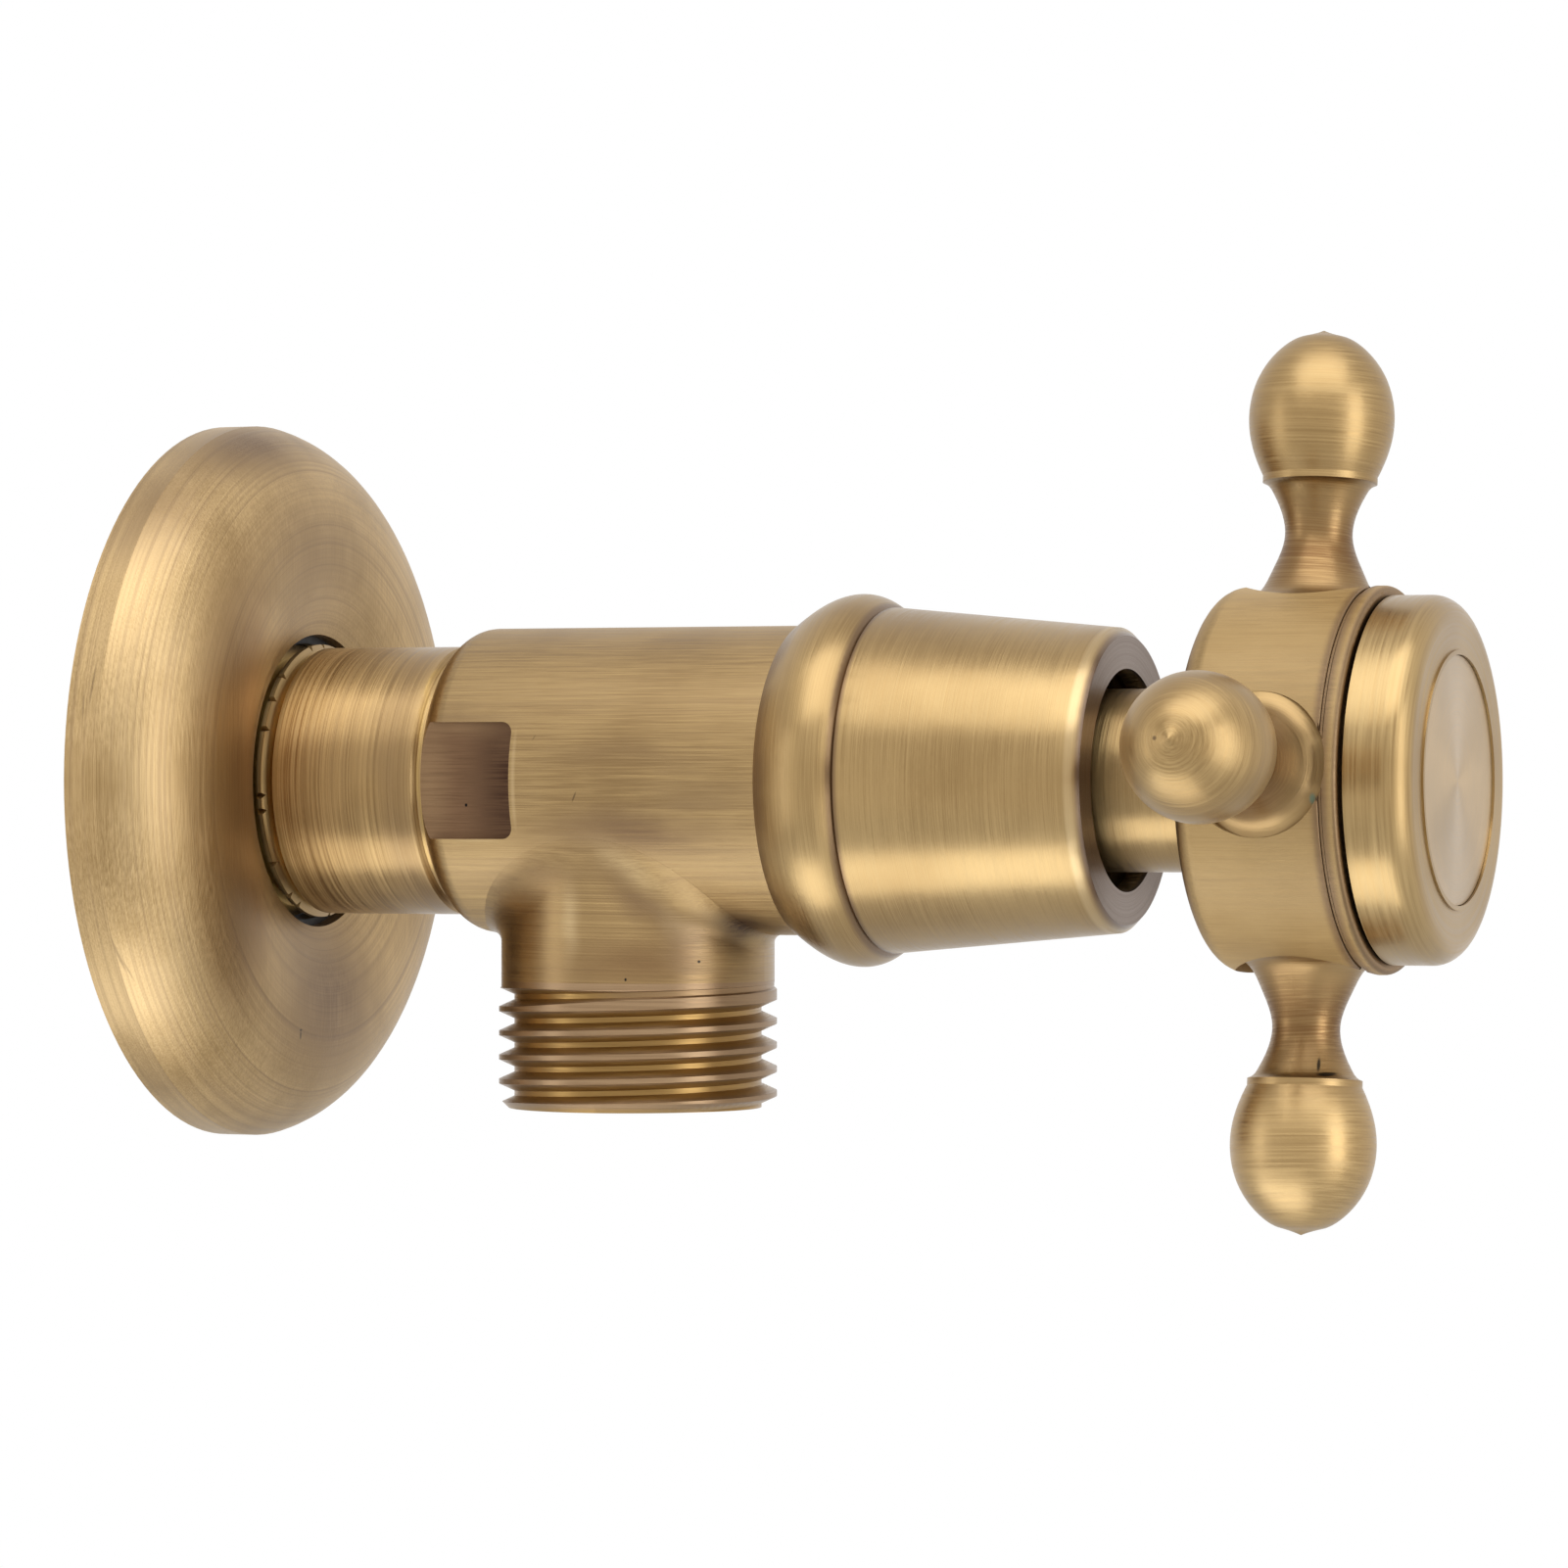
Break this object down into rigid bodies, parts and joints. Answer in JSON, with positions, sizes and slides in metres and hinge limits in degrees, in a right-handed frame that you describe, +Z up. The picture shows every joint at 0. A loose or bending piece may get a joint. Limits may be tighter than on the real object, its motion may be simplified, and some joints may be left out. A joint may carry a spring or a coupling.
{
  "type": "angle valve",
  "caption": "Quarter-turn angle valve with a domed wall flange, threaded side outlet, conical bonnet cover and cross handle.",
  "frame": {"origin": "centre of the wall flange's back face, in the wall plane, on the inlet axis", "axes": "+X along the valve axis from the wall to the handle, +Z up, the outlet points to -Z"},
  "size_m": [0.1062, 0.0654, 0.0654],
  "materials": {
    "body_brass": "antique brass, brushed along the axis",
    "flange_brass": "antique brass, brushed round and across",
    "cover_brass": "antique brass, turned satin lines",
    "handle_brass": "antique brass, turned satin lines",
    "arm_brass": "antique brass, turned satin",
    "cap_brass": "antique brass, spun",
    "raw_brass": "bare machined brass",
    "ceramic": "lapped ceramic",
    "rubber": "black seal rubber",
    "fibre": "red fibre gasket",
    "bearing_plastic": "white low-friction plastic",
    "steel": "stainless steel"
  },
  "bodies": {
    "valve": {"valve_body": "body_brass", "bonnet_cover": "cover_brass", "headwork_body": "raw_brass", "headwork_gasket": "fibre", "seat_seal": "rubber", "fixed_disc": "ceramic", "thrust_washer": "bearing_plastic"},
    "flange": {"wall_flange": "flange_brass"},
    "handle": {"spindle": "raw_brass", "spindle_o_rings": "rubber", "spindle_clip": "steel", "moving_disc": "ceramic", "handle_hub": "handle_brass", "spline_insert": "bearing_plastic", "handle_screw": "steel", "screw_washer": "steel", "arm_top": "arm_brass", "arm_near": "arm_brass", "arm_bottom": "arm_brass", "arm_far": "arm_brass", "handle_cap": "cap_brass", "index_disc": "cap_brass"}
  },
  "joints": [
    {"name": "handle_turn", "type": "hinge", "parent": "valve", "child": "handle", "pos_m": [0.0872, 0, 0], "axis": [1, 0, 0], "range_deg": [0, 90]},
    {"name": "flange_slide", "type": "slide", "parent": "valve", "child": "flange", "axis": [1, 0, 0], "range_m": [0, 0.0125]}
  ]
}
